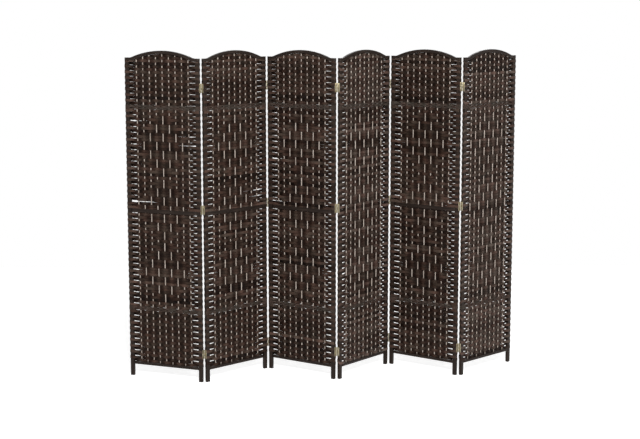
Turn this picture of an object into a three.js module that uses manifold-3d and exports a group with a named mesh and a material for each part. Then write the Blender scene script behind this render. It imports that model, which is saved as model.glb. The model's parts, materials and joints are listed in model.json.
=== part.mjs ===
// A free-standing screen of six woven panels, folded like an accordion.
//
// Each panel is a wooden frame of two stiles, whose lower ends are its legs,
// an arched top rail that caps the stiles and a bottom rail. The frame holds a woven
// field, which swells over each upright stake and is drawn in between them. Two twined
// bands cross the field, and a slat crosses one face of it. Three butt hinges join each
// panel to the next. Their pins stand behind the screen at one joint and before it at
// the next, so the panels fold flat against each other in a stack, or open into a
// straight wall. Two of the panels are hung with the slat's face turned to the back.
//
// Millimetres, +Z up, X to the right and Y away from the viewer. The origin is on the
// floor, in the middle of the screen's bounding box.

import * as THREE from 'three';
import { mergeVertices } from 'three/addons/utils/BufferGeometryUtils.js';
import Module from 'manifold-3d';

const wasm = await Module();
wasm.setup();

// ---- Driving dimensions ----------------------------------------------------------

const overallHeight = 1800; // floor to the crown of the arched top rails
const panelPitch = 450; // hinge pin to hinge pin across one panel
const archRise = 39; // crown of a top rail above its level ends
const archEndRadius = 60; // hollow curve where the arch leaves its level ends

const stileWidth = 22; // across the panel
const frameDepth = 16; // through the panel, stiles and top rail alike
const edgeEase = 1; // bevel along the stiles' corners
const topRailHeight = 17;
const bottomRailHeight = 14;
const bottomRailDepth = 14;
const legLength = 66; // floor to the underside of the bottom rail

const stakeCount = 9; // upright stakes inside the woven field
const stakePitch = 38.8; // from one stake to the next
const weaveDepth = 9.4; // through the woven field, over a stake
const crestWidth = 13; // flat width of the field's swell over a stake
const webDepth = 2.4; // through the woven field, half way between two stakes
const bandHeight = 23; // of the two twined bands across the field
const bandDepth = 14.4;
const lowerBandLevel = 385; // floor to the lower band's centre line
const upperBandLevel = 1496;
const slatHeight = 20; // of the slat across one face of the field
const slatSetBack = 1; // its face behind the stiles' faces
const slatLevel = 930; // floor to its centre line

const hingeHeight = 50; // along the pin
const hingeLeafDepth = 13; // leaf on the stile's edge, measured through the panel
const hingeLeafThickness = 1.2;
const knuckleRadius = 2.7;
const pinRadius = 1.2;
const knuckleCount = 3; // odd ones belong to the leaf that carries the pin
const topHingeDrop = 157; // stile top to the upper hinge's centre
const middleHingeLevel = 950; // floor to the middle hinge's centre
const bottomHingeLevel = 154; // floor to the lower hinge's centre

const seatGap = 0.3; // between pieces that are glued, screwed or pressed together
const runningGap = 0.3; // between pieces that turn on each other
const pinStandOff = 0.6; // knuckle clear of the stile's face

// Each panel's direction from its left stile to its right one, in degrees from +X,
// as the screen stands half folded.
const panelDirections = [-22.7, 43.1, -35.2, 49.8, -37.3, 44.1];

// Panels hung with the slat's face to the back, counted from the left.
const turnedPanels = [4, 6];

const roundSides = 10; // flats round a pin or a knuckle
const arcSteps = 5; // chords in each hollow curve of a top rail
const crownSteps = 16; // chords in the crown of a top rail

// ---- Worked out from them --------------------------------------------------------

const pinToEdge = knuckleRadius + seatGap; // pin axis to the stile's edge
const pinToFace = knuckleRadius + pinStandOff; // pin axis to the stile's face
const panelWidth = panelPitch - 2 * pinToEdge;
const shoulderHeight = overallHeight - archRise; // top of a top rail's level ends
const stileHeight = shoulderHeight - topRailHeight - seatGap;
const fieldWidth = panelWidth - 2 * stileWidth; // clear width between the stiles
const bottomRailTop = legLength + bottomRailHeight;
const hingeLevels = {
  top: shoulderHeight - topHingeDrop,
  middle: middleHingeLevel,
  bottom: bottomHingeLevel,
};

// ---- Finishes --------------------------------------------------------------------

const finishes = {
  wood: { color: 0x2c211b, roughness: 0.5, metalness: 0 },
  weave: { color: 0x47382f, roughness: 0.75, metalness: 0 },
  brass: { color: 0xb9a76a, roughness: 0.35, metalness: 1 },
};

// ---- Helpers ---------------------------------------------------------------------

/** A closed geometry as a solid that can be joined and cut. */
function toSolid(geometry) {
  const bare = geometry.clone();
  bare.deleteAttribute('normal');
  bare.deleteAttribute('uv');
  const merged = mergeVertices(bare);
  return new wasm.Manifold(new wasm.Mesh({
    numProp: 3,
    vertProperties: new Float32Array(merged.attributes.position.array),
    triVerts: new Uint32Array(merged.index.array),
  }));
}

/** A solid as a geometry with flat-shaded faces. */
function toGeometry(solid) {
  const mesh = solid.getMesh();
  const geometry = new THREE.BufferGeometry();
  geometry.setAttribute('position', new THREE.BufferAttribute(mesh.vertProperties, 3));
  geometry.setIndex(new THREE.BufferAttribute(mesh.triVerts, 1));
  geometry.computeVertexNormals();
  return geometry;
}

/** A box from its lowest corner to its highest one. */
function boxBetween(low, high) {
  const size = high.map((value, axis) => value - low[axis]);
  const middle = high.map((value, axis) => (value + low[axis]) / 2);
  return new THREE.BoxGeometry(...size).translate(...middle);
}

/** A round bar along Z, from one level to another. */
function roundBar(radius, low, high) {
  return new THREE.CylinderGeometry(radius, radius, high - low, roundSides)
    .rotateX(Math.PI / 2)
    .translate(0, 0, (low + high) / 2);
}

/** A named mesh in one of the finishes. */
function makePiece(name, geometry, finish) {
  const piece = new THREE.Mesh(geometry, new THREE.MeshStandardMaterial(finishes[finish]));
  piece.name = name;
  return piece;
}

// ---- Frame -----------------------------------------------------------------------

/** A stile from the floor to the underside of the top rail, left edge at x = 0. */
function stileGeometry() {
  const half = frameDepth / 2;
  const outline = new THREE.Shape([
    new THREE.Vector2(edgeEase, -half),
    new THREE.Vector2(stileWidth - edgeEase, -half),
    new THREE.Vector2(stileWidth, edgeEase - half),
    new THREE.Vector2(stileWidth, half - edgeEase),
    new THREE.Vector2(stileWidth - edgeEase, half),
    new THREE.Vector2(edgeEase, half),
    new THREE.Vector2(0, half - edgeEase),
    new THREE.Vector2(0, edgeEase - half),
  ]);
  return new THREE.ExtrudeGeometry(outline, { depth: stileHeight, bevelEnabled: false });
}

/**
 * The arch between the stiles' inner edges, as heights above its level ends: a hollow
 * arc, the crown's round arc and a hollow arc again, each tangent to the next.
 * Points run from the left stile to the right one, and inset trims both ends.
 */
function archLine(inset) {
  const halfSpan = fieldWidth / 2;
  const sweep = 2 * Math.atan(archRise / halfSpan);
  const crownRadius = halfSpan / Math.sin(sweep) - archEndRadius;
  const rising = [];
  for (let step = 0; step < arcSteps; step += 1) {
    const turn = (sweep * step) / arcSteps;
    rising.push([archEndRadius * Math.sin(turn), archEndRadius * (1 - Math.cos(turn))]);
  }
  for (let step = 0; step <= crownSteps / 2; step += 1) {
    const turn = sweep * (1 - (2 * step) / crownSteps);
    rising.push([
      halfSpan - crownRadius * Math.sin(turn),
      archRise - crownRadius * (1 - Math.cos(turn)),
    ]);
  }
  const falling = rising.slice(0, -1).reverse().map(([x, rise]) => [fieldWidth - x, rise]);
  const line = [...rising, ...falling];
  line[0] = [inset, 0];
  line[line.length - 1] = [fieldWidth - inset, 0];
  return line.map(([x, rise]) => new THREE.Vector2(stileWidth + x, rise));
}

/** An upright outline (x, z) given its depth in Y, centred on the panel's middle plane. */
function uprightSlab(points, depth) {
  return new THREE.ExtrudeGeometry(new THREE.Shape(points), { depth, bevelEnabled: false })
    .rotateX(Math.PI / 2)
    .translate(0, depth / 2, 0);
}

/** The top rail: level over each stile and arched between them. */
function topRailGeometry() {
  const raised = (line, level) => line.map((point) => new THREE.Vector2(point.x, point.y + level));
  const underside = shoulderHeight - topRailHeight;
  const outline = [
    new THREE.Vector2(0, underside),
    ...raised(archLine(0), underside),
    new THREE.Vector2(panelWidth, underside),
    new THREE.Vector2(panelWidth, shoulderHeight),
    ...raised(archLine(0), shoulderHeight).reverse(),
    new THREE.Vector2(0, shoulderHeight),
  ];
  return uprightSlab(outline, frameDepth);
}

/** The bottom rail between the stiles. */
function bottomRailGeometry() {
  const half = bottomRailDepth / 2;
  return boxBetween(
    [stileWidth + seatGap, -half, legLength],
    [panelWidth - stileWidth - seatGap, half, bottomRailTop],
  );
}

/**
 * The woven field's section from above. It is as deep as the frame beside each stile,
 * swells over each stake and is drawn in half way from one to the next.
 */
function fieldSection(left, right) {
  const stakes = Array.from({ length: stakeCount }, (_, index) => (
    panelWidth / 2 + (index - (stakeCount - 1) / 2) * stakePitch
  ));
  const line = [[left, frameDepth]];
  stakes.forEach((stake, index) => {
    const before = index === 0 ? left : stakes[index - 1];
    line.push(
      [(before + stake) / 2, webDepth],
      [stake - crestWidth / 2, weaveDepth],
      [stake + crestWidth / 2, weaveDepth],
    );
  });
  line.push([(stakes[stakeCount - 1] + right) / 2, webDepth], [right, frameDepth]);
  return new THREE.Shape([
    ...line.map(([x, depth]) => new THREE.Vector2(x, -depth / 2)),
    ...line.reverse().map(([x, depth]) => new THREE.Vector2(x, depth / 2)),
  ]);
}

/** The woven field inside the frame, with its two bands and the slat across its front. */
function weaveGeometry() {
  const left = stileWidth + seatGap;
  const right = panelWidth - stileWidth - seatGap;
  const low = bottomRailTop + seatGap;
  const high = shoulderHeight - topRailHeight - seatGap;
  const outline = uprightSlab([
    new THREE.Vector2(left, low),
    new THREE.Vector2(right, low),
    ...archLine(seatGap).reverse().map((point) => new THREE.Vector2(point.x, point.y + high)),
  ], 2 * frameDepth);
  const woven = new THREE.ExtrudeGeometry(fieldSection(left, right), {
    depth: overallHeight,
    bevelEnabled: false,
  });
  const bar = (front, back, level, height) => toSolid(boxBetween(
    [left, front, level - height / 2],
    [right, back, level + height / 2],
  ));
  return toGeometry(toSolid(woven)
    .intersect(toSolid(outline))
    .add(bar(-bandDepth / 2, bandDepth / 2, lowerBandLevel, bandHeight))
    .add(bar(-bandDepth / 2, bandDepth / 2, upperBandLevel, bandHeight))
    .add(bar(slatSetBack - frameDepth / 2, 0, slatLevel, slatHeight)));
}

// ---- Hinges ----------------------------------------------------------------------

/**
 * One leaf, with its pin axis on Z and its middle at z = 0. The stile that it is
 * screwed to lies at +X and -Y: its edge is pinToEdge from the axis and its face
 * pinToFace. The leaf is one strip, rolled round the pin at its end. It is cut away
 * where the other leaf's knuckles go. The odd knuckles carry the pin, and the even
 * ones are bored for it.
 */
function hingeLeafGeometry(carriesPin) {
  const inner = knuckleRadius - hingeLeafThickness;
  const rollEnd = 2 * Math.PI - Math.acos(inner / knuckleRadius);
  const strip = new THREE.Shape();
  strip.moveTo(inner, -pinToFace - hingeLeafDepth);
  strip.lineTo(knuckleRadius, -pinToFace - hingeLeafDepth);
  strip.lineTo(knuckleRadius, 0);
  strip.absarc(0, 0, knuckleRadius, 0, rollEnd);
  let leaf = toSolid(new THREE.ExtrudeGeometry(strip, {
    depth: hingeHeight,
    bevelEnabled: false,
    curveSegments: roundSides,
  }).translate(0, 0, -hingeHeight / 2));

  const knucklePitch = (hingeHeight + runningGap) / knuckleCount;
  for (let index = carriesPin ? 1 : 0; index < knuckleCount; index += 2) {
    const low = index * knucklePitch - runningGap - hingeHeight / 2;
    leaf = leaf.subtract(toSolid(boxBetween(
      [-pinToEdge, -pinToFace, low],
      [pinToEdge, pinToEdge, low + knucklePitch + runningGap],
    )));
  }
  if (carriesPin) {
    return toGeometry(leaf.add(toSolid(roundBar(pinRadius, -hingeHeight / 2, hingeHeight / 2))));
  }
  return toGeometry(leaf.subtract(toSolid(roundBar(pinRadius + runningGap, -hingeHeight, hingeHeight))));
}

// ---- Assembly --------------------------------------------------------------------

const shapes = {
  stile: stileGeometry(),
  topRail: topRailGeometry(),
  bottomRail: bottomRailGeometry(),
  weave: weaveGeometry(),
  pinLeaf: hingeLeafGeometry(true),
  boredLeaf: hingeLeafGeometry(false),
};

/** +1 where a joint's pins stand behind the panels, and -1 where they stand before them. */
const pinSide = (joint) => (joint % 2 === 1 ? 1 : -1);

/** A panel's pin axis in its own plan, at its left or its right edge. */
function pinInPanel(joint, atRight) {
  const x = atRight ? panelWidth + pinToEdge : -pinToEdge;
  return new THREE.Vector2(x, pinSide(joint) * (frameDepth / 2 + pinToFace));
}

/** The frame and the woven field of one panel. */
function panelPieces(number) {
  const rightStile = makePiece(`panel_${number}_stile_right`, shapes.stile, 'wood');
  rightStile.position.x = panelWidth - stileWidth;
  const weave = makePiece(`panel_${number}_weave`, shapes.weave, 'weave');
  if (turnedPanels.includes(number)) {
    weave.rotation.z = Math.PI;
    weave.position.x = panelWidth;
  }
  return [
    makePiece(`panel_${number}_stile_left`, shapes.stile, 'wood'),
    rightStile,
    makePiece(`panel_${number}_top_rail`, shapes.topRail, 'wood'),
    makePiece(`panel_${number}_bottom_rail`, shapes.bottomRail, 'wood'),
    weave,
  ];
}

/** The three leaves that a panel carries at one joint. */
function hingeLeaves(joint, carriesPin) {
  const pin = pinInPanel(joint, carriesPin);
  const shape = carriesPin ? shapes.pinLeaf : shapes.boredLeaf;
  const leafName = carriesPin ? 'pin_leaf' : 'bored_leaf';
  return Object.entries(hingeLevels).map(([place, level]) => {
    const leaf = makePiece(`hinge_${joint}_${place}_${leafName}`, shape, 'brass');
    leaf.position.set(pin.x, pin.y, level);
    if (pinSide(joint) > 0) {
      leaf.rotation.y = carriesPin ? Math.PI : 0;
    } else if (carriesPin) {
      leaf.rotation.z = Math.PI;
    } else {
      leaf.rotation.x = Math.PI;
    }
    return leaf;
  });
}

const screen = new THREE.Group();
const jointCount = panelDirections.length - 1;
const corner = new THREE.Vector2(0, 0); // where the next panel's left edge stands

panelDirections.forEach((direction, index) => {
  const number = index + 1;
  const turn = THREE.MathUtils.degToRad(direction);
  const panel = new THREE.Group();
  panel.rotation.z = turn;
  if (number > 1) {
    corner.sub(pinInPanel(number - 1, false).rotateAround(new THREE.Vector2(), turn));
    panel.add(...hingeLeaves(number - 1, false));
  }
  panel.position.set(corner.x, corner.y, 0);
  panel.add(...panelPieces(number));
  if (number <= jointCount) {
    panel.add(...hingeLeaves(number, true));
    corner.add(pinInPanel(number, true).rotateAround(new THREE.Vector2(), turn));
  }
  screen.add(panel);
});

// The origin goes to the middle of the screen's footprint.
const footprint = new THREE.Box3().setFromObject(screen, true);
screen.position.x = -(footprint.min.x + footprint.max.x) / 2;
screen.position.y = -(footprint.min.y + footprint.max.y) / 2;

export default screen;
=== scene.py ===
"""The looks of a free-standing folding screen of six woven panels on butt hinges.

Metres, +Z up, X to the right and Y away from the viewer. Each panel is worked out in a
plan of its own: x from its left edge to its right one, y from its front to its back and
z up from the floor. Its pieces are put in their place in the screen at the end.
"""
import json
import math

import bpy
import numpy as np
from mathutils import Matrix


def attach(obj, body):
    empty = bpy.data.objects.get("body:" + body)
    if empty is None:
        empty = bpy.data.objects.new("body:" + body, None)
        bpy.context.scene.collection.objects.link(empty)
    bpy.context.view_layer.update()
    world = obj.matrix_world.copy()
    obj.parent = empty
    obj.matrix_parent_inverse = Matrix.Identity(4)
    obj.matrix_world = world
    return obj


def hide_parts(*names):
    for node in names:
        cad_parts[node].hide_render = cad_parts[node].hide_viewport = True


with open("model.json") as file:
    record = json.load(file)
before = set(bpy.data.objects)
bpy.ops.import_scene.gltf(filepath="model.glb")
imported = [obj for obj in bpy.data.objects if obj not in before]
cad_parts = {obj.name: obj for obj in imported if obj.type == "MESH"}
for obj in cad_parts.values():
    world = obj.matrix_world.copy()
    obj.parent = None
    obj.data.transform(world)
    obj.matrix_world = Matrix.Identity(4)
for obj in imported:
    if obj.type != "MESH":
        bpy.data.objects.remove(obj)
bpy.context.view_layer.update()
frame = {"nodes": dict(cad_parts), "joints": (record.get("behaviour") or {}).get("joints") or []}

MM = 0.001

# ---- Sizes of what the solids leave out --------------------------------------------

PANEL_COUNT = 6
FACE_TOLERANCE = 0.02 * MM  # between a vertex and the flat face that it belongs to

STAKE_COUNT = 9
STAKE_PITCH = 38.8 * MM
STAKE_RADIUS = 2.9 * MM
STAKE_WAVER = 0.15 * MM  # of a stake's middle to the sides, in each of two waves
STAKE_TURNS = (5, 13)  # radians of those two waves for each metre of height
STAKE_SWELL = 0.04  # of its radius, by which a stake grows and shrinks on the way up
SWELL_TURNS = 9  # radians of that wave for each metre of height

RIBBON_THICKNESS = 1.4 * MM
RIBBON_PRESS = 0.12 * MM  # a ribbon's edge past half way to the next row, pressed into it
RIBBON_CLEARANCE = 0.1 * MM  # ribbon off the stake or stile that it bends round
FLOAT_BULGE = 0.8 * MM  # how far a ribbon stands off where it passes two stakes at once
EDGE_NARROWING = 0.3 * MM  # drawn in beside the stiles, on each side of the ribbon
SPREAD = 1.5 * MM  # by which rows leave their level, up and down by turns, beside a stile
OUTER_END = 0.55  # of the way from a stile to its nearest stake, where the outer bulge ends
INNER_START = 0.4  # of the same way, where the inner bulge starts
NARROWING_START = 0.5  # where the ribbon starts to widen again, counted from the stile in
NARROWING_FADE = 0.9  # lengths from the panel's edge to its first stake, and over how many
WAVER = 0.4 * MM  # of each row up and down, in each of two waves
WAVER_TURNS = (23, 61)  # radians of the two waves for each metre along a row
WAVER_SLANT = 14  # radians by which they shift for each metre of height
LAP_LEAD = 0.6  # of a stake's pitch, by which lapping starts before the outermost stake
WIDENING = 0.18  # of the depth between two rows, by which each laps over the other
PAINTED_HOLLOW_SHADE = 0.31  # painted shade: how much darker the colour is half way into the weave's hollows
TINT_SPREAD = 0.09  # of the stain from row to row, as a standard deviation
TWIST_LENGTH = 3.2 * MM  # of one full turn of a paper cord's strands
GAP_STEPS = 6  # steps of a ribbon from one stake to the next

SLAT_SET_BACK = 1.0 * MM  # of the slat's face from the stiles' faces
SLAT_CLEARANCE = 0.1 * MM  # behind the slat, besides the ribbon's own clearance
SLAT_EASE = 0.7 * MM  # on the slat's corners
LIFT_END = 0.3  # how far in a row is lifted off the slat, in the narrowing's measure
LIFT_FADE = 0.5  # over how much it comes down again, in the same measure

LOWER_BAND = (374 * MM, 396 * MM)
UPPER_BAND = (1484 * MM, 1508 * MM)
BAND_ROWS = 3
TWINE_HALF_DEPTH = 1.9 * MM  # of a strand among the stakes
TWINE_HALF_ON_STILE = 0.45 * MM  # of a strand pressed flat round a stile
TWINE_PINCHED = 1.3  # a strand's half height between stakes, in quarters of its row
TWINE_FANNED = 0.7  # what it gains where it passes a stake, in the same measure

PLAIN_ROWS = 18  # woven rows below the lower band, and above the upper one
MARGIN_ROWS = 2  # plain rows between a band and the nearest diamond
DIAMONDS = 3
DIAMOND_REACH = [0, 1, 2, 3, 2, 1, 0]  # stakes from the middle one to the figure's edge
BLOCK_ROWS = 3
PLAIN = -2  # a reach that no stake lies within

# Where two rows have been pushed apart: panel, edge, level, opening and how far in it runs.
SLITS = [
    (1, "left", 982 * MM, 13.0 * MM, 190 * MM),
    (1, "left", 1424 * MM, 6.0 * MM, 160 * MM),
    (1, "right", 1348 * MM, 5.0 * MM, 140 * MM),
    (1, "right", 1292 * MM, 5.0 * MM, 140 * MM),
    (2, "right", 1030 * MM, 8.0 * MM, 180 * MM),
    (2, "right", 996 * MM, 6.0 * MM, 140 * MM),
    (3, "left", 958 * MM, 7.0 * MM, 150 * MM),
    (3, "left", 1203 * MM, 5.5 * MM, 140 * MM),
]
SLIT_FADE = 1.4  # rows over which the push dies away, above and below a slit

HOLLOW_RADIUS = 60 * MM  # of the arch where it leaves its level ends
CORNER_EASE = 1.0 * MM  # on the corners of the stiles and bottom rails
TOP_RAIL_EASE = 1.3 * MM
RAIL_STEPS = 24  # points along the slat or a bottom rail
ARCH_STEPS = 97  # points along a top rail between the stiles
SEAT_GAP = 0.3 * MM

LEAF_THICKNESS = 1.2 * MM
LEAF_EASE = 0.35 * MM
KNUCKLE_RADIUS = 2.7 * MM
KNUCKLE_COUNT = 3
KNUCKLE_GAP = 0.3 * MM
KNUCKLE_EASE = 0.3 * MM
KNUCKLE_ROLL = 300  # degrees that a knuckle goes round its pin
PIN_RADIUS = 1.2 * MM
SCREW_RADIUS = 2.5 * MM
SCREW_OFFSET = 15 * MM  # of each screw above or below a leaf's middle
HEAD_DOME = 0.3  # millimetres that a screw's head rises in the middle, before its cross
HEAD_SKIRT = 0.6  # millimetres that its rim reaches below the plate's face
CROSS_DEPTH = 0.45  # millimetres
CROSS_HALF_WIDTH = 0.2  # of each groove, as a share of the head's radius
CROSS_END = 0.7  # of the same radius, where the grooves run out
CROSS_FADE = 0.25  # of the same radius, over which they do

WHITE = (1, 1, 1, 1)
FLOOR_REACH = 3.2  # each way from the screen's middle
LAMP_TARGET = (0, 0, 0.9)
CAMERA_PLACE = (-0.1704, -7.9734, 2.0827)
CAMERA_DIP = 8.68  # degrees down from level
CAMERA_TURN = 1.06  # degrees to the right of straight ahead
CAMERA_LENS = 81.92  # millimetres
SENSOR_WIDTH = 36  # millimetres

# ---- The panels, as the frame has them ---------------------------------------------


def node_points(name):
    """A CAD node's vertices, one to a row."""
    mesh = frame["nodes"][name].data
    points = np.empty(len(mesh.vertices) * 3)
    mesh.vertices.foreach_get("co", points)
    return points.reshape(-1, 3)


def node_middle(name):
    """The middle of a CAD node's box."""
    points = node_points(name)
    return (points.min(axis=0) + points.max(axis=0)) / 2


class Panel:
    """One panel's place in the screen, worked out from its two stiles."""

    def __init__(self, number):
        self.body = f"panel_{number}"
        left = node_middle(f"{self.body}_stile_left")[:2]
        right = node_middle(f"{self.body}_stile_right")[:2]
        self.along = (right - left) / np.linalg.norm(right - left)
        self.away = np.array([-self.along[1], self.along[0]])
        self.corner = left  # until the plan has said how far out the stile reaches
        self.corner = left + self.along * self.plan("stile_left")[:, 0].min()
        self.turned = self.slat_face()[:, 1].mean() > 0

    def plan(self, piece):
        """The vertices of one of the panel's CAD nodes, in the panel's own plan."""
        points = node_points(f"{self.body}_{piece}")
        level = points[:, :2] - self.corner
        return np.column_stack([level @ self.along, level @ self.away, points[:, 2]])

    def slat_face(self):
        """The corners of the slat's face, the one level face of the weave at its depth."""
        woven = self.plan("weave")
        face_depth = self.plan("stile_left")[:, 1].max() - SLAT_SET_BACK
        return woven[np.abs(np.abs(woven[:, 1]) - face_depth) < FACE_TOLERANCE]

    def place(self, points):
        """Points of the panel's own plan, in their place in the screen."""
        level = self.corner + points[:, :1] * self.along + points[:, 1:2] * self.away
        return np.column_stack([level, points[:, 2]])

    def place_woven(self, points):
        """The same for the woven field, which two panels have back to front."""
        if self.turned:
            points = points * [-1, -1, 1] + [panel_width, 0, 0]
        return self.place(points)


panels = [Panel(number) for number in range(1, PANEL_COUNT + 1)]
first = panels[0]
stile = first.plan("stile_left")
top_rail = first.plan("top_rail")
bottom_rail = first.plan("bottom_rail")
slat_face = first.slat_face()

panel_width = first.plan("stile_right")[:, 0].max()
stile_width = stile[:, 0].max()
half_depth = stile[:, 1].max()
rail_underside = top_rail[:, 2].min()
rail_height = top_rail[top_rail[:, 0] < MM, 2].max() - rail_underside
arch_height = top_rail[:, 2].max() - rail_underside - rail_height
sill_top = bottom_rail[:, 2].max()
field_left = stile_width + SEAT_GAP
field_right = panel_width - field_left
half_span = panel_width / 2 - stile_width
slat_top = slat_face[:, 2].max()
slat_low = slat_face[:, 2].min()
slat_front = slat_face[:, 1].min()
slat_back = -(STAKE_RADIUS + 2 * RIBBON_CLEARANCE + RIBBON_THICKNESS + SLAT_CLEARANCE)

stakes = panel_width / 2 + (np.arange(STAKE_COUNT) - (STAKE_COUNT - 1) / 2) * STAKE_PITCH


def arch_rise(x):
    """The arch's height above its level ends, at a distance x across the panel.

    From each stile a hollow arc climbs until it meets the crown's arc, and the two
    share a tangent there. Both are circles: height is the centre's height less or
    plus the root of radius squared less distance squared.
    """
    sweep = 2 * math.atan(arch_height / half_span)
    crown_radius = half_span / math.sin(sweep) - HOLLOW_RADIUS
    offset = np.minimum(np.abs(x - panel_width / 2), half_span)
    from_stile = half_span - offset
    hollow = HOLLOW_RADIUS - np.sqrt(np.maximum(HOLLOW_RADIUS**2 - from_stile**2, 0))
    crown = arch_height - crown_radius + np.sqrt(crown_radius**2 - offset**2)
    return np.where(from_stile < HOLLOW_RADIUS * math.sin(sweep), hollow, crown)


# ---- Surfaces ----------------------------------------------------------------------


def ease(t):
    """A smooth step from 0 to 1: three t squared less two t cubed."""
    t = np.clip(t, 0, 1)
    return t * t * (3 - 2 * t)


def oval(sides, squareness):
    """Points round a section of half sizes 1, as pairs: through and across.

    Cosine and sine of the angle, each raised to 2 over squareness with its sign kept:
    2 gives a circle, 4 a flat oval and 12 a bar with eased corners.
    """
    angle = 2 * np.pi * np.arange(sides) / sides
    circle = np.column_stack([np.cos(angle), np.sin(angle)])
    return np.sign(circle) * np.abs(circle) ** (2 / squareness)


def eased_bar(half_through, half_across, radius, corner_points=4):
    """Points round a bar's section: four quarter circles, one at each corner."""
    turn = np.linspace(0, np.pi / 2, corner_points)
    quarter = np.arange(4)[:, None] * np.pi / 2
    angle = quarter + turn
    side = np.sign(np.column_stack([
        np.cos(quarter[:, 0] + np.pi / 4),
        np.sin(quarter[:, 0] + np.pi / 4),
    ]))
    middle = side * [half_through - radius, half_across - radius]
    points = middle[:, None, :] + radius * np.stack([np.cos(angle), np.sin(angle)], axis=-1)
    return points.reshape(-1, 2)


def tube(rings):
    """A closed surface over rings of points, given as (steps, sides, 3).

    Each ring turns as a right-handed screw would along the way. Between two rings
    lies a belt of four-sided faces, and one flat face closes each end. The chart is
    the length travelled in metres and the place across, from -1 to 1.
    """
    steps, sides = rings.shape[:2]
    start = np.arange(steps - 1)[:, None] * sides
    here = np.arange(sides)[None, :]
    following = (here + 1) % sides
    belt = np.stack([
        start + here,
        start + following,
        start + sides + following,
        start + sides + here,
    ], axis=-1).reshape(-1, 4)
    ends = np.stack([np.arange(sides)[::-1], (steps - 1) * sides + np.arange(sides)])
    centres = rings.mean(axis=1)
    lengths = np.linalg.norm(np.diff(centres, axis=0), axis=1)
    travel = np.concatenate([[0], np.cumsum(lengths)])
    rise = rings[..., 2] - centres[:, None, 2]
    across = rise / np.maximum(np.abs(rise).max(axis=1, keepdims=True), 1e-9)
    chart = np.stack([np.broadcast_to(travel[:, None], (steps, sides)), across], axis=-1)
    return {
        "points": rings.reshape(-1, 3),
        "faces": [belt, ends],
        "chart": chart.reshape(-1, 2),
        "tint": np.zeros(steps * sides),
    }


def carried(path, section):
    """A section carried along a path: through lies level and square to it, across is upright.

    section is (sides, 2), or (steps, sides, 2) where it changes along the way.
    """
    heading = np.gradient(path[:, :2], axis=0)
    heading /= np.linalg.norm(heading, axis=1, keepdims=True)
    through = np.column_stack([-heading[:, 1], heading[:, 0], np.zeros(len(path))])
    section = np.broadcast_to(section, (len(path),) + section.shape[-2:])
    rings = path[:, None, :] + through[:, None, :] * section[..., :1]
    rings[..., 2] += section[..., 1]
    return tube(rings)


def turned_on_axis(radii, heights, sides):
    """A round upright surface: a circle of each radius at each height."""
    angle = 2 * np.pi * np.arange(sides) / sides
    radii = np.asarray(radii)[:, None]
    heights = np.broadcast_to(np.asarray(heights)[:, None], (len(radii), sides))
    return tube(np.stack([radii * np.cos(angle), radii * np.sin(angle), heights], axis=-1))


def joined(parts):
    """Several surfaces as one."""
    offsets = np.cumsum([0] + [len(part["points"]) for part in parts[:-1]])
    return {
        "points": np.concatenate([part["points"] for part in parts]),
        "faces": [face + offset for part, offset in zip(parts, offsets) for face in part["faces"]],
        "chart": np.concatenate([part["chart"] for part in parts]),
        "tint": np.concatenate([part["tint"] for part in parts]),
    }


def add_piece(name, surface, body, material, replaced=()):
    """A surface as a piece of the screen that rides on a body."""
    faces = surface["faces"]
    corners = np.concatenate([face.ravel() for face in faces])
    sizes = np.concatenate([np.full(len(face), face.shape[1]) for face in faces])
    mesh = bpy.data.meshes.new(name)
    mesh.vertices.add(len(surface["points"]))
    mesh.vertices.foreach_set("co", surface["points"].astype(np.float32).ravel())
    mesh.loops.add(len(corners))
    mesh.loops.foreach_set("vertex_index", corners.astype(np.int32))
    mesh.polygons.add(len(sizes))
    mesh.polygons.foreach_set("loop_start", (np.cumsum(sizes) - sizes).astype(np.int32))
    mesh.update(calc_edges=True)
    mesh.validate()
    mesh.shade_smooth()
    chart = mesh.uv_layers.new(name="chart")
    chart.data.foreach_set("uv", surface["chart"][corners].astype(np.float32).ravel())
    tint = mesh.attributes.new("tint", "FLOAT", "POINT")
    tint.data.foreach_set("value", surface["tint"].astype(np.float32))
    mesh.materials.append(material)
    piece = bpy.data.objects.new(name, mesh)
    bpy.context.scene.collection.objects.link(piece)
    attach(piece, body)
    if replaced:
        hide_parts(*replaced)
    return piece


# ---- Finishes ----------------------------------------------------------------------


def wire(tree, kind, inputs, **settings):
    """A node with its settings. Each input is a value, or an output to link to it."""
    made = tree.nodes.new("ShaderNode" + kind)
    for key, value in settings.items():
        setattr(made, key, value)
    for key, value in inputs.items():
        if isinstance(value, bpy.types.NodeSocket):
            tree.links.new(value, made.inputs[key])
        else:
            made.inputs[key].default_value = value
    return made


def math_node(tree, operation, *values):
    """The output of a Math node."""
    return wire(tree, "Math", dict(enumerate(values)), operation=operation).outputs[0]


def ramp(tree, factor, stops):
    """A colour ramp over a factor, from pairs of place and colour."""
    made = wire(tree, "ValToRGB", {"Fac": factor})
    elements = made.color_ramp.elements
    while len(elements) < len(stops):
        elements.new(0.5)
    for element, (place, colour) in zip(elements, stops):
        element.position = place
        element.color = (*colour, 1)
    return made.outputs["Color"]


def new_finish(name):
    """A material with a bare shader, and its tree."""
    material = bpy.data.materials.new(name)
    material.use_nodes = True
    return material, material.node_tree, material.node_tree.nodes["Principled BSDF"]


def connect(tree, shader, **sockets):
    """Links outputs to the shader's inputs, whose names have a space for each underscore."""
    for name, output in sockets.items():
        tree.links.new(output, shader.inputs[name.replace("_", " ")])


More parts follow.
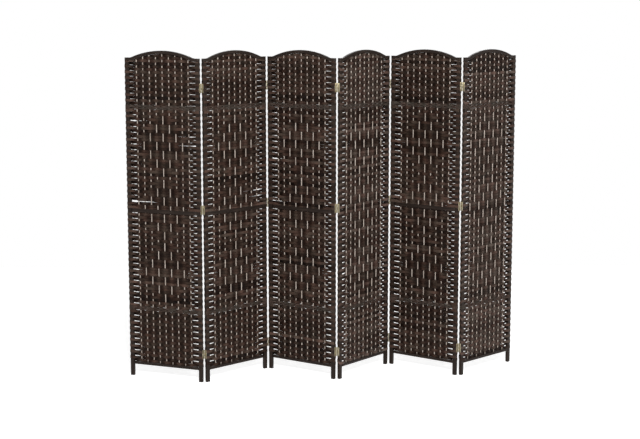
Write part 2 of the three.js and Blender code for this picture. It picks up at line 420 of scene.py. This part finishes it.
def stained_wood(name, grain_way):
    """Dark stained wood. Its grain runs along Z, or along the piece's own length."""
    material, tree, shader = new_finish(name)
    if grain_way == "upright":
        place = wire(tree, "TexCoord", {}).outputs["Object"]
        scale = (1.0, 1.0, 0.045)
    else:
        place = wire(tree, "UVMap", {}, uv_map="chart").outputs["UV"]
        scale = (0.045, 0.008, 1.0)
    stretched = wire(tree, "Mapping", {"Vector": place, "Scale": scale}).outputs["Vector"]
    figure = wire(tree, "TexNoise", {
        "Vector": stretched, "Scale": 160, "Detail": 5, "Roughness": 0.62, "Distortion": 0.4,
    }).outputs["Fac"]
    pores = wire(tree, "TexNoise", {
        "Vector": stretched, "Scale": 900, "Detail": 2, "Roughness": 0.5,
    }).outputs["Fac"]
    colour = ramp(tree, figure, [
        (0.28, (0.008, 0.0052, 0.0042)),
        (0.52, (0.020, 0.0135, 0.0105)),
        (0.75, (0.040, 0.0280, 0.0220)),
    ])
    roughness = wire(tree, "MapRange", {"Value": pores, "To Min": 0.36, "To Max": 0.58})
    relief = math_node(tree, "ADD", figure, pores)
    bump = wire(tree, "Bump", {"Height": relief, "Strength": 0.25, "Distance": 0.0004})
    shader.inputs["Specular IOR Level"].default_value = 0.12
    connect(tree, shader, Base_Color=colour, Roughness=roughness.outputs[0], Normal=bump.outputs[0])
    return material


def twisted_fibre(name, colour, cord_count):
    """Flat ribbon of twisted paper cords laid side by side.

    Across the ribbon each cord is a round ridge, the root of one less its own place
    squared. Strands cross it on the slant, as a sine of the length plus the place. The
    colour carries painted shade: darker in the creases between the cords by the ridge,
    and darker in the weave's hollows by the tint attribute.
    """
    material, tree, shader = new_finish(name)
    chart = wire(tree, "UVMap", {}, uv_map="chart").outputs["UV"]
    parts = wire(tree, "SeparateXYZ", {"Vector": chart}).outputs
    cords = math_node(tree, "MULTIPLY", parts["Y"], cord_count / 2)
    within = math_node(tree, "FRACT", math_node(tree, "ADD", cords, cord_count / 2))
    centred = math_node(tree, "MULTIPLY_ADD", within, 2.0, -1.0)
    ridge = math_node(tree, "SQRT", math_node(tree, "SUBTRACT", 1.0, math_node(
        tree, "MULTIPLY", centred, centred)))
    lay = math_node(tree, "MULTIPLY_ADD", parts["X"], 2 * math.pi / TWIST_LENGTH, within)
    slant = math_node(tree, "MULTIPLY_ADD", within, 3.4, lay)
    strand = math_node(tree, "SINE", slant)
    relief = math_node(tree, "MULTIPLY_ADD", strand, 0.22, ridge)
    bump = wire(tree, "Bump", {"Height": relief, "Strength": 0.8, "Distance": 0.0007})

    place = wire(tree, "TexCoord", {}).outputs["Object"]
    cloudy = wire(tree, "TexNoise", {
        "Vector": place, "Scale": 21, "Detail": 3, "Roughness": 0.55,
    }).outputs["Fac"]
    streaks = wire(tree, "TexNoise", {
        "Vector": wire(tree, "Mapping", {"Vector": chart, "Scale": (60, 5, 1)}).outputs[0],
        "Scale": 1.6, "Detail": 3, "Roughness": 0.6,
    }).outputs["Fac"]
    # The tint attribute is each row's random stain together with the painted shade of the weave's
    # hollows.
    tint = wire(tree, "Attribute", {}, attribute_name="tint").outputs["Fac"]
    mixed = math_node(tree, "ADD", math_node(tree, "MULTIPLY_ADD", cloudy, 0.4, tint), streaks)
    # Painted shade: each cord's crown is lighter and the creases between the cords are darker.
    tone_and_shade = math_node(tree, "MULTIPLY_ADD", ridge, 0.25, mixed)
    red, green, blue = colour
    colour = ramp(tree, math_node(tree, "MULTIPLY_ADD", tone_and_shade, 0.8, -0.25), [
        (0.07, (0.05 * red, 0.035 * green, 0.03 * blue)),
        (0.28, (0.27 * red, 0.22 * green, 0.19 * blue)),
        (0.48, colour),
        (0.60, (1.55 * red, 1.60 * green, 1.65 * blue)),
        (0.85, (2.4 * red, 2.5 * green, 2.6 * blue)),
    ])
    hue = wire(tree, "TexNoise", {
        "Vector": wire(tree, "Mapping", {"Vector": place, "Scale": (1, 1, 2.4)}).outputs[0],
        "Scale": 17, "Detail": 1,
    }).outputs["Fac"]
    warmth = ramp(tree, hue, [(0.38, (1.10, 0.94, 0.90)), (0.62, (0.97, 1.02, 1.00))])
    colour = wire(tree, "Mix", {0: 1.0, 6: colour, 7: warmth}, data_type="RGBA",
                  blend_type="MULTIPLY").outputs[2]
    shader.inputs["Roughness"].default_value = 0.6
    shader.inputs["Specular IOR Level"].default_value = 0.07
    connect(tree, shader, Base_Color=colour, Normal=bump.outputs[0])
    return material


def peeled_stake():
    """Pale peeled wood with long fine streaks along it."""
    material, tree, shader = new_finish("peeled_stake")
    place = wire(tree, "TexCoord", {}).outputs["Object"]
    stretched = wire(tree, "Mapping", {"Vector": place, "Scale": (1, 1, 0.05)}).outputs[0]
    streaks = wire(tree, "TexNoise", {
        "Vector": stretched, "Scale": 420, "Detail": 4, "Roughness": 0.6,
    }).outputs["Fac"]
    patches = wire(tree, "TexNoise", {
        "Vector": place, "Scale": 14, "Detail": 2, "Roughness": 0.5,
    }).outputs["Fac"]
    mixed = math_node(tree, "MULTIPLY_ADD", patches, 0.6, math_node(tree, "MULTIPLY", streaks, 0.5))
    colour = ramp(tree, mixed, [
        (0.30, (0.22, 0.175, 0.142)),
        (0.55, (0.37, 0.310, 0.268)),
        (0.80, (0.49, 0.430, 0.382)),
    ])
    bump = wire(tree, "Bump", {"Height": streaks, "Strength": 0.3, "Distance": 0.0003})
    shader.inputs["Roughness"].default_value = 0.55
    shader.inputs["Specular IOR Level"].default_value = 0.3
    connect(tree, shader, Base_Color=colour, Normal=bump.outputs[0])
    return material


def plated_brass(name, colour, roughness):
    """Thin pale brass plate, dulled in soft patches and lightly brushed."""
    material, tree, shader = new_finish(name)
    place = wire(tree, "TexCoord", {}).outputs["Object"]
    patches = wire(tree, "TexNoise", {
        "Vector": place, "Scale": 120, "Detail": 4, "Roughness": 0.6,
    }).outputs["Fac"]
    brushed = wire(tree, "TexNoise", {
        "Vector": wire(tree, "Mapping", {"Vector": place, "Scale": (1, 1, 0.08)}).outputs[0],
        "Scale": 2200, "Detail": 2,
    }).outputs["Fac"]
    tone = ramp(tree, patches, [
        (0.3, tuple(0.72 * part for part in colour)),
        (0.7, colour),
    ])
    dulled = wire(tree, "MapRange", {
        "Value": patches, "To Min": roughness - 0.08, "To Max": roughness + 0.14,
    })
    bump = wire(tree, "Bump", {"Height": brushed, "Strength": 0.15, "Distance": 0.0002})
    shader.inputs["Metallic"].default_value = 1.0
    connect(tree, shader, Base_Color=tone, Roughness=dulled.outputs[0], Normal=bump.outputs[0])
    return material


upright_wood = stained_wood("stained_wood_upright", "upright")
rail_wood = stained_wood("stained_wood_rail", "lengthways")
ribbon_fibre = twisted_fibre("twisted_fibre", (0.0530, 0.0350, 0.0268), 5)
faded_fibre = twisted_fibre("twisted_fibre_faded", (0.0760, 0.0545, 0.0445), 5)
band_fibre = twisted_fibre("twisted_fibre_band", (0.0560, 0.0425, 0.0350), 3)
stake_finish = peeled_stake()
leaf_brass = plated_brass("plated_brass", (0.47, 0.425, 0.310), 0.32)
screw_brass = plated_brass("screw_brass", (0.40, 0.355, 0.260), 0.28)

# ---- Woven field -------------------------------------------------------------------

stile_steps = np.array([CORNER_EASE, stile_width / 2])
turn_radius = CORNER_EASE + RIBBON_CLEARANCE + RIBBON_THICKNESS / 2
off_stake = STAKE_RADIUS + RIBBON_CLEARANCE + RIBBON_THICKNESS / 2
corner_turn = np.radians([30, 60, 90])
flat_turn = np.array([-0.5, 0, 0.5])


def section_rows(low, high, count, odd_first, reach=None):
    """The rows of one stretch of weaving: level, whether it is an odd row, and reach."""
    pitch = (high - low) / count
    index = np.arange(count)
    return {
        "level": low + pitch * (index + 0.5),
        "odd": (index % 2 == 0) == odd_first,
        "reach": np.full(count, PLAIN) if reach is None else np.asarray(reach),
        "half_width": pitch / 2 + RIBBON_PRESS,
    }


def stake_shows(rows):
    """Whether each stake shows on the slat's face, as (rows, stakes).

    Plain rows show every other stake. In a diamond's block the stakes within reach
    show if they are an even count from its edge, and the others beside them are hidden.
    """
    number = np.arange(1, STAKE_COUNT + 1)
    from_middle = np.abs(number - (STAKE_COUNT + 1) // 2)
    reach = rows["reach"][:, None]
    shows = (number % 2 == 1) == rows["odd"][:, None]
    in_step = (from_middle - reach) % 2 == 0
    shows[(from_middle <= reach) & in_step] = True
    shows[(from_middle <= reach + 1) & ~in_step] = False
    return shows


def pushed_apart(rows, x, slits):
    """How far the slits push each row up or down at each x.

    The push fades by an exponential with the rows between, and along a straight taper
    to the slit's inner end.
    """
    lift = np.zeros((len(rows["level"]), len(x)))
    pitch = rows["level"][1] - rows["level"][0]
    for _, edge, level, opening, reach in slits:
        away = (rows["level"] - level)[:, None] / pitch
        inwards = x if edge == "left" else panel_width - x
        taper = np.clip(1 - inwards / reach, 0, 1)
        lift += opening / 2 * np.sign(away) * np.exp(-np.abs(away) / SLIT_FADE) * taper
    return lift


def ribbon_rows(rows, spread, slits, chance):
    """The paths and half widths of all rows of a stretch, from the left to the right.

    A path is level from the stile's outer corner over its face. Then it swings from
    each stake to the next along a smooth step, in front or behind. Where two stakes
    are passed on one side it bulges by half a sine. Beside the stiles neighbouring
    rows part by the spread, along two sines, one on each side of where they cross.
    Further in, each edge laps over the next row by a share of the depth between them.
    Every row wavers up and down along two sines. A row that would cross the slat's top
    edge is lifted off it beside the stiles.
    """
    count = len(rows["level"])
    front_of_stile = half_depth + RIBBON_CLEARANCE + RIBBON_THICKNESS / 2
    at_stile = np.where(rows["odd"], -front_of_stile, front_of_stile)[:, None]
    at_stake = np.where(stake_shows(rows), off_stake, -off_stake)
    key_x = np.concatenate([[stile_width], stakes, [panel_width - stile_width]])
    key_y = np.hstack([at_stile, at_stake, at_stile])
    step = np.arange(GAP_STEPS) / GAP_STEPS
    x = (key_x[:-1, None] + np.diff(key_x)[:, None] * step).ravel()
    y = key_y[:, :-1, None] + np.diff(key_y)[:, :, None] * ease(step)
    passed = np.diff(key_y)[:, :, None] == 0
    y = y + passed * np.sign(key_y[:, :-1, None]) * FLOAT_BULGE * np.sin(np.pi * step)
    y = y.reshape(count, -1)
    x = np.concatenate([stile_steps, x, key_x[-1:], panel_width - stile_steps[::-1]])
    y = np.hstack([at_stile, at_stile, y, at_stile, at_stile, at_stile])

    from_stile = np.clip(np.minimum(x, panel_width - x) - stile_width, 0, None)
    beside = np.clip(from_stile / (stakes[0] - stile_width), 0, 1)
    outer = np.sin(np.pi * np.clip(beside / OUTER_END, 0, 1))
    inner = np.sin(np.pi * np.clip((beside - INNER_START) / (1 - INNER_START), 0, 1))
    share = np.where((x < panel_width / 2)[:, None], spread[0], spread[1])
    parting = SPREAD * (share[:, 0] * outer + share[:, 1] * inner)
    way = np.where(rows["odd"], -1, 1)[:, None]
    phase = chance.uniform(0, 2 * np.pi, 2)
    slant = WAVER_SLANT * rows["level"][:, None]
    long_wave = np.sin(WAVER_TURNS[0] * x + slant + phase[0])
    short_wave = np.sin(WAVER_TURNS[1] * x - slant + phase[1])
    waver = WAVER * (long_wave + short_wave)
    z = rows["level"][:, None] + way * parting + waver * (beside > 0)
    z = z + pushed_apart(rows, x, slits)
    widened = ease((from_stile / stakes[0] - NARROWING_START) / NARROWING_FADE)
    drawn_in = EDGE_NARROWING * (1 - widened)
    half_width = np.broadcast_to(rows["half_width"] - drawn_in, z.shape).copy()

    clear_of_slat = ease(1 - (from_stile - LIFT_END * stakes[0]) / (LIFT_FADE * stakes[0]))
    lifted = (rows["odd"] & (np.abs(rows["level"] - slat_top) < rows["half_width"]))[:, None]
    shove = np.where(lifted, slat_top + half_width - z + SEAT_GAP, 0)
    z = z + shove * clear_of_slat

    past_stake = (from_stile - stakes[0] + stile_width) / STAKE_PITCH
    lap = WIDENING * np.abs(np.diff(y, axis=0)) * ease(past_stake + LAP_LEAD)
    ceiling = rail_underside + arch_rise(x) - SEAT_GAP
    top = z + half_width
    top[:-1] += lap
    bottom = z - half_width
    bottom[1:] -= lap
    top = np.minimum(top, ceiling)
    bottom = np.minimum(bottom, top - RIBBON_THICKNESS / 2)
    path = np.stack([np.broadcast_to(x, z.shape), y, (top + bottom) / 2], axis=-1)
    return path, (top - bottom) / 2


def ribbon_turns(path, half_width):
    """The paths round a stile's outer edge from each row's end to the next row's start.

    Two quarter circles round the stile's corners with a straight between them, while
    the ribbon climbs evenly to the next row.
    """
    lead, follow = path[:-1, -1], path[1:, 0]
    right = lead[:, :1] > panel_width / 2
    side = np.sign(lead[:, 1:2])
    corner_y = half_depth - CORNER_EASE
    far_turn = corner_turn - corner_turn[0]
    out = turn_radius * np.concatenate([np.sin(corner_turn), [1, 1, 1], np.cos(far_turn)])
    leave = corner_y + turn_radius * np.cos(corner_turn)
    enter = -corner_y - turn_radius * np.sin(far_turn)
    through = np.concatenate([leave, -flat_turn * corner_y, enter])
    length = np.concatenate([[0], np.cumsum(np.hypot(np.diff(out), np.diff(through)))])
    share = (length + turn_radius / 2) / (length[-1] + turn_radius)
    edge = np.where(right, panel_width - CORNER_EASE, CORNER_EASE)
    x = edge + np.where(right, 1, -1) * out
    y = side * through
    z = lead[:, 2:] + (follow[:, 2:] - lead[:, 2:]) * share
    width = half_width[:-1, -1:] + (half_width[1:, :1] - half_width[:-1, -1:]) * share
    return np.stack([x, y, z], axis=-1), width


flat_section = oval(8, 4)


def ribbon(path, half_width, tints):
    """One ribbon along a path, with its own tint at each step.

    Painted shade darkens it where it lies back in the weave's hollows, and it keeps its
    own colour where it stands proud: a face is as proud as its own side of the ribbon
    times the ribbon's place through.
    """
    sizes = np.stack([np.full(len(path), RIBBON_THICKNESS / 2), half_width], axis=-1)
    surface = carried(path, flat_section * sizes[:, None, :])
    off_middle = surface["points"].reshape(len(path), -1, 3) - path[:, None, :]
    outward = off_middle[..., 1] * 2 / RIBBON_THICKNESS * path[:, None, 1] / off_stake
    sideways = np.abs(off_middle[..., 0]) * 2 / RIBBON_THICKNESS
    proud = np.clip(np.maximum(outward, sideways), -1, 1)
    # Painted shade: each face is darkened the further it lies back in the weave's hollows.
    surface["tint"] = (tints[:, None] - PAINTED_HOLLOW_SHADE * (1 - proud)).ravel()
    return surface


def woven_stretch(rows, spread, slits, chance):
    """A stretch of weaving as one ribbon to and fro. Rows above the stiles stand alone."""
    middle, half_height = rows["level"].mean(), np.ptp(rows["level"]) / 2
    inside = [slit for slit in slits if abs(slit[2] - middle) < half_height]
    path, half_width = ribbon_rows(rows, spread, inside, chance)
    tint = chance.normal(0, TINT_SPREAD, len(path))
    full = rows["level"] - rows["half_width"] < rail_underside
    run, run_width = path[full].copy(), half_width[full].copy()
    run[1::2] = run[1::2, ::-1]
    run_width[1::2] = run_width[1::2, ::-1]
    turn, turn_width = ribbon_turns(run, run_width)
    steps = run.shape[1] + turn.shape[1]
    line = np.concatenate([
        np.concatenate([run[:-1], turn], axis=1).reshape(-1, 3), run[-1]])
    widths = np.concatenate([
        np.concatenate([run_width[:-1], turn_width], axis=1).ravel(), run_width[-1]])
    tints = np.repeat(tint[full], steps)[:len(line)]
    parts = [ribbon(line, widths, tints)]
    for index in np.flatnonzero(~full):
        ceiling = rail_underside + arch_rise(path[index, :, 0])
        under = ceiling > rows["level"][index] - rows["half_width"] + RIBBON_THICKNESS
        parts.append(ribbon(path[index, under], half_width[index, under],
                            np.full(under.sum(), tint[index])))
    return parts


def stake_surfaces(chance):
    """The stakes, from the bottom rail to the arch: circles whose middles waver a little."""
    steps, sides = 64, 12
    angle = 2 * np.pi * np.arange(sides) / sides
    parts = []
    for place in stakes:
        low = sill_top + SEAT_GAP
        high = rail_underside + arch_rise(place) - SEAT_GAP
        height = np.linspace(low, high, steps)
        phase = chance.uniform(0, 2 * np.pi, 4)
        sway = np.sin(STAKE_TURNS[0] * height + phase[0])
        sway = sway + np.sin(STAKE_TURNS[1] * height + phase[1])
        x = place + STAKE_WAVER * sway
        radius = STAKE_RADIUS * (1 + STAKE_SWELL * np.sin(SWELL_TURNS * height + phase[2]))
        rings = np.stack([
            x[:, None] + radius[:, None] * np.cos(angle),
            radius[:, None] * np.sin(angle),
            np.broadcast_to(height[:, None], (steps, sides)),
        ], axis=-1)
        parts.append(tube(rings))
    return parts


def twined_row(level, half_height, lay):
    """Two strands twined about each other and the stakes, joined round both stiles.

    Each strand swings before one stake and behind the next, as a cosine, and rises and
    falls by a sine between them. The second is the first with its signs turned.
    """
    steps = np.arange(1, 10) / 10
    knots = np.concatenate([[stile_width], stakes, [panel_width - stile_width]])
    x = np.concatenate([
        stile_steps,
        (knots[:-1, None] + np.diff(knots)[:, None] * np.concatenate([[0], steps])).ravel(),
        knots[-1:],
        panel_width - stile_steps[::-1],
    ])
    turns = np.interp(x, knots, np.arange(len(knots)))
    near_stile = 1 - ease(np.minimum(turns, len(knots) - 1 - turns))
    half_thick = TWINE_HALF_DEPTH + (TWINE_HALF_ON_STILE - TWINE_HALF_DEPTH) * near_stile
    swing = STAKE_RADIUS + (half_depth - STAKE_RADIUS) * near_stile + half_thick + RIBBON_CLEARANCE
    y = swing * np.cos(np.pi * turns)
    rise = lay * half_height / 2 * np.sin(np.pi * turns)
    tall = half_height / 2 * (TWINE_PINCHED + TWINE_FANNED * np.cos(np.pi * turns) ** 2)
    there = np.column_stack([x, y, level + rise])
    back = np.column_stack([x, -y, level - rise])[::-1]
    sizes = np.column_stack([half_thick, tall])
    run = np.stack([there, back, there])
    width = np.stack([tall, tall[::-1], tall])
    turn, turn_width = ribbon_turns(run, width)
    line = np.concatenate([there, turn[0], back, turn[1]])
    turn_sizes = np.column_stack([np.full(turn.shape[1], TWINE_HALF_ON_STILE), turn_width[0]])
    section = np.concatenate([sizes, turn_sizes, sizes[::-1], turn_sizes])
    return carried(line, oval(8, 2.6) * section[:, None, :])


def band_surfaces(low, high):
    """A band: rows of twining, each laid the other way from the one below it."""
    height = (high - low) / BAND_ROWS
    return [
        twined_row(low + height * (row + 0.5), height / 2 - RIBBON_CLEARANCE, (-1) ** row)
        for row in range(BAND_ROWS)
    ]


diamond = np.repeat(DIAMOND_REACH, BLOCK_ROWS)
margin = np.full(MARGIN_ROWS, PLAIN)
figured = np.concatenate([margin, np.tile(np.append(diamond, PLAIN), DIAMONDS)[:-1], margin])
arch_top = rail_underside + arch_height
# Each stretch's rows, then its shares of the spread at the left edge and the right one:
# first of the bulge beside the stile, then of the one beside the stake.
STRETCHES = [
    (section_rows(sill_top, LOWER_BAND[0], PLAIN_ROWS, False), ((0, 1), (0, 1))),
    (section_rows(LOWER_BAND[1], UPPER_BAND[0], len(figured), True, figured),
     ((-0.5, 1.2), (0, -0.5))),
    (section_rows(UPPER_BAND[1], arch_top, PLAIN_ROWS, False), ((0, 0), (0, 0.7))),
]


def slat_surface():
    """The slat across the weave: an eased bar between the stiles."""
    middle = [(slat_front + slat_back) / 2, (slat_low + slat_top) / 2]
    x = np.linspace(field_left, field_right, RAIL_STEPS)
    path = np.column_stack([x, np.full_like(x, middle[0]), np.full_like(x, middle[1])])
    section = eased_bar((slat_back - slat_front) / 2, (slat_top - slat_low) / 2, SLAT_EASE)
    return carried(path, section)


def weave_panel(panel, number):
    """The woven field of a panel: ribbon, stakes, bands and slat. Its number is its seed."""
    chance = np.random.default_rng(number)
    slits = [slit for slit in SLITS if slit[0] == number]
    parts = [
        part for rows, spread in STRETCHES for part in woven_stretch(rows, spread, slits, chance)
    ]
    fibre = faded_fibre if panel.turned else ribbon_fibre
    pieces = [
        ("ribbon", joined(parts), fibre, "woven_fibre", [f"{panel.body}_weave"]),
        ("stakes", joined(stake_surfaces(chance)), stake_finish, "stake_wood", []),
        ("lower_band", joined(band_surfaces(*LOWER_BAND)), band_fibre, "woven_fibre", []),
        ("upper_band", joined(band_surfaces(*UPPER_BAND)), band_fibre, "woven_fibre", []),
        ("slat", slat_surface(), rail_wood, "frame_wood", []),
    ]
    for name, surface, material, slot, replaced in pieces:
        surface["points"] = panel.place_woven(surface["points"])
        add_piece(f"{panel.body}_{name}", surface, panel.body, material, replaced)


# ---- Frame -------------------------------------------------------------------------


def top_rail_surface():
    """The top rail: an eased bar that follows the arch."""
    x = np.concatenate([
        [0, stile_width / 2],
        np.linspace(stile_width, panel_width - stile_width, ARCH_STEPS),
        [panel_width - stile_width / 2, panel_width],
    ])
    z = rail_underside + rail_height / 2 + arch_rise(x)
    path = np.column_stack([x, np.zeros_like(x), z])
    return carried(path, eased_bar(half_depth, rail_height / 2, TOP_RAIL_EASE))


def bottom_rail_surface():
    """The bottom rail: an eased bar between the stiles."""
    x = np.linspace(field_left, field_right, RAIL_STEPS)
    low, high = bottom_rail[:, 2].min(), bottom_rail[:, 2].max()
    path = np.column_stack([x, np.zeros_like(x), np.full_like(x, (low + high) / 2)])
    return carried(path, eased_bar(bottom_rail[:, 1].max(), (high - low) / 2, CORNER_EASE))


def frame_panel(panel):
    """A panel's rails as new pieces, and its stiles in the upright wood."""
    for name, surface in (("top_rail", top_rail_surface()), ("bottom_rail", bottom_rail_surface())):
        surface["points"] = panel.place(surface["points"])
        node = f"{panel.body}_{name}"
        add_piece(f"{node}_shaped", surface, panel.body, rail_wood, [node])
    for side in ("left", "right"):
        for slot in frame["nodes"][f"{panel.body}_stile_{side}"].material_slots:
            slot.material = upright_wood


# ---- Hinges ------------------------------------------------------------------------


def leaf_surfaces(carries_pin, height, reach, off_face):
    """One leaf about its pin on Z, its stile at +X and -Y.

    The plate is a flat bar. Each of its knuckles is a strip that runs straight up from
    the plate and then round the pin along a circle.
    """
    half = LEAF_THICKNESS / 2
    plate_x = KNUCKLE_RADIUS - half
    plate_y = np.linspace(-off_face - reach, -off_face, 8)
    plate = np.column_stack([np.full(8, plate_x), plate_y, np.zeros(8)])
    parts = [carried(plate, eased_bar(half, height / 2, LEAF_EASE))]
    roll = np.radians(np.linspace(0, KNUCKLE_ROLL, 31))
    straight = np.linspace(-off_face - MM, 0, 4)[:-1]
    strip_x = np.concatenate([np.full(3, plate_x), plate_x * np.cos(roll)])
    strip_y = np.concatenate([straight, plate_x * np.sin(roll)])
    pitch = (height + KNUCKLE_GAP) / KNUCKLE_COUNT
    tall = pitch - KNUCKLE_GAP
    for index in range(0 if carries_pin else 1, KNUCKLE_COUNT, 2):
        level = -height / 2 + index * pitch + tall / 2
        strip = np.column_stack([strip_x, strip_y, np.full(len(strip_x), level)])
        parts.append(carried(strip, eased_bar(half, tall / 2, KNUCKLE_EASE)))
    if carries_pin:
        dome = np.radians([80, 60, 40, 20, 0])
        end = height / 2
        radii = np.concatenate([PIN_RADIUS * np.cos(dome), PIN_RADIUS * np.cos(dome[::-1])])
        rise = PIN_RADIUS * 0.5 * np.sin(dome)
        heights = np.concatenate([-end - rise, end + rise[::-1]])
        parts.append(turned_on_axis(radii, heights, 20))
    return parts


def screw_surface(place_y, place_z):
    """A countersunk screw's head with a cross recess, facing -X on the plate.

    Its height over a disc is a low dome less a cross: a groove along each axis that
    is deepest in the middle and runs out towards the rim.
    """
    sides = 32
    share = np.array([1.0, 1.0, 0.92, 0.8, 0.68, 0.56, 0.44, 0.32, 0.2, 0.08])
    angle = 2 * np.pi * np.arange(sides) / sides
    u = share[:, None] * np.cos(angle)
    v = share[:, None] * np.sin(angle)
    narrow = np.minimum(np.abs(u), np.abs(v))
    run_out = ease((CROSS_END - share[:, None]) / CROSS_FADE)
    groove = ease(1 - narrow / CROSS_HALF_WIDTH) * run_out
    height = HEAD_DOME * (1 - share[:, None] ** 2) - CROSS_DEPTH * groove
    height[0] = -HEAD_SKIRT
    rings = np.stack([
        KNUCKLE_RADIUS - LEAF_THICKNESS - height * MM,
        place_y + SCREW_RADIUS * v,
        place_z + SCREW_RADIUS * u,
    ], axis=-1)
    return tube(rings)


def hang_leaf(panel, joint, index, place, carries_pin):
    """One leaf and its screws, on the side of the panel that its pin stands on."""
    node = f"hinge_{index}_{place}_{'pin' if carries_pin else 'bored'}_leaf"
    low, high = node_points(node)[:, 2].min(), node_points(node)[:, 2].max()
    pin = np.array(joint["pos_m"][:2])
    from_panel = pin - panel.corner
    side = np.sign(from_panel @ panel.away)
    towards = -panel.along if carries_pin else panel.along
    across = side * panel.away
    upright = towards[0] * across[1] - towards[1] * across[0]
    local = node_points(node)[:, :2] - pin
    off_face = abs(from_panel @ panel.away) - half_depth
    reach = -(local @ across).min() - off_face
    leaf = joined(leaf_surfaces(carries_pin, high - low, reach, off_face))
    screw_y = -off_face - reach / 2
    screws = joined([screw_surface(screw_y, level) for level in (-SCREW_OFFSET, SCREW_OFFSET)])
    for name, surface, material, replaced in (
        ("plate", leaf, leaf_brass, [node]),
        ("screws", screws, screw_brass, []),
    ):
        points = surface["points"]
        level = pin + points[:, :1] * towards + points[:, 1:2] * across
        surface["points"] = np.column_stack([level, (low + high) / 2 + upright * points[:, 2]])
        add_piece(f"{node}_{name}", surface, panel.body, material, replaced)


for number, panel in enumerate(panels, start=1):
    weave_panel(panel, number)
    frame_panel(panel)
for index, joint in enumerate(frame["joints"], start=1):
    for place in ("top", "middle", "bottom"):
        hang_leaf(panels[index - 1], joint, index, place, True)
        hang_leaf(panels[index], joint, index, place, False)

# ---- Floor, light and camera -------------------------------------------------------


def seen_directly(tree):
    """1 where a surface is seen by the camera, in a gloss or through a clear piece."""
    rays = wire(tree, "LightPath", {}).outputs
    seen = math_node(tree, "MAXIMUM", rays["Is Camera Ray"], rays["Is Glossy Ray"])
    return math_node(tree, "MAXIMUM", seen, rays["Is Transmission Ray"])


def lay_floor():
    """A plain pale floor that shows white and still keeps the screen's shadow."""
    x, y = np.meshgrid([-FLOOR_REACH, FLOOR_REACH], [-FLOOR_REACH, FLOOR_REACH])
    corners = np.column_stack([x.ravel(), y.ravel(), np.zeros(4)])
    mesh = bpy.data.meshes.new("floor")
    mesh.from_pydata(corners.tolist(), [], [[0, 1, 3, 2]])
    floor = bpy.data.objects.new("floor", mesh)
    bpy.context.scene.collection.objects.link(floor)
    material, tree, shader = new_finish("pale_floor")
    shader.inputs["Base Color"].default_value = (0.85, 0.85, 0.85, 1)
    shader.inputs["Roughness"].default_value = 0.9
    glow = wire(tree, "Emission", {"Color": WHITE, "Strength": 0.7}).outputs[0]
    lifted = wire(tree, "AddShader", {0: shader.outputs[0], 1: glow}).outputs[0]
    mixed = wire(tree, "MixShader", {
        0: seen_directly(tree), 1: shader.outputs[0], 2: lifted,
    }).outputs[0]
    tree.links.new(mixed, tree.nodes["Material Output"].inputs["Surface"])
    mesh.materials.append(material)


def light_room():
    """A world that shows white and lights softly, and three large soft lamps."""
    world = bpy.data.worlds.new("room")
    bpy.context.scene.world = world
    world.use_nodes = True
    tree = world.node_tree
    tree.nodes.clear()
    soft = wire(tree, "Background", {"Color": WHITE, "Strength": 0.12}).outputs[0]
    white = wire(tree, "Background", {"Color": WHITE, "Strength": 1.0}).outputs[0]
    mixed = wire(tree, "MixShader", {0: seen_directly(tree), 1: soft, 2: white}).outputs[0]
    output = tree.nodes.new("ShaderNodeOutputWorld")
    tree.links.new(mixed, output.inputs["Surface"])
    for name, place, size, power in (
        ("key_lamp", (0.4, -6.6, 4.3), 1.2, 560),
        ("fill_lamp", (5.5, -4.0, 2.6), 2.6, 50),
        ("back_lamp", (0.5, 6.0, 4.0), 3.0, 120),
    ):
        lamp = bpy.data.lights.new(name, "AREA")
        lamp.size = size
        lamp.energy = power
        stand = bpy.data.objects.new(name, lamp)
        stand.location = place
        stand.rotation_euler = aimed(place, LAMP_TARGET)
        bpy.context.scene.collection.objects.link(stand)


def aimed(place, target):
    """The turn that points a lamp's -Z from its place at a target, with its top up."""
    ahead = np.array(target) - np.array(place)
    level = math.hypot(ahead[0], ahead[1])
    return (math.atan2(level, -ahead[2]), 0, math.atan2(-ahead[0], ahead[1]))


def set_camera():
    """The camera, where the photograph was taken from."""
    camera = bpy.data.cameras.new("camera")
    camera.sensor_width = SENSOR_WIDTH
    camera.lens = CAMERA_LENS
    camera.clip_end = 200
    stand = bpy.data.objects.new("camera", camera)
    stand.location = CAMERA_PLACE
    stand.rotation_euler = (math.radians(90 - CAMERA_DIP), 0, math.radians(-CAMERA_TURN))
    bpy.context.scene.collection.objects.link(stand)
    bpy.context.scene.camera = stand


lay_floor()
light_room()
set_camera()
bpy.context.scene.view_settings.view_transform = "Standard"
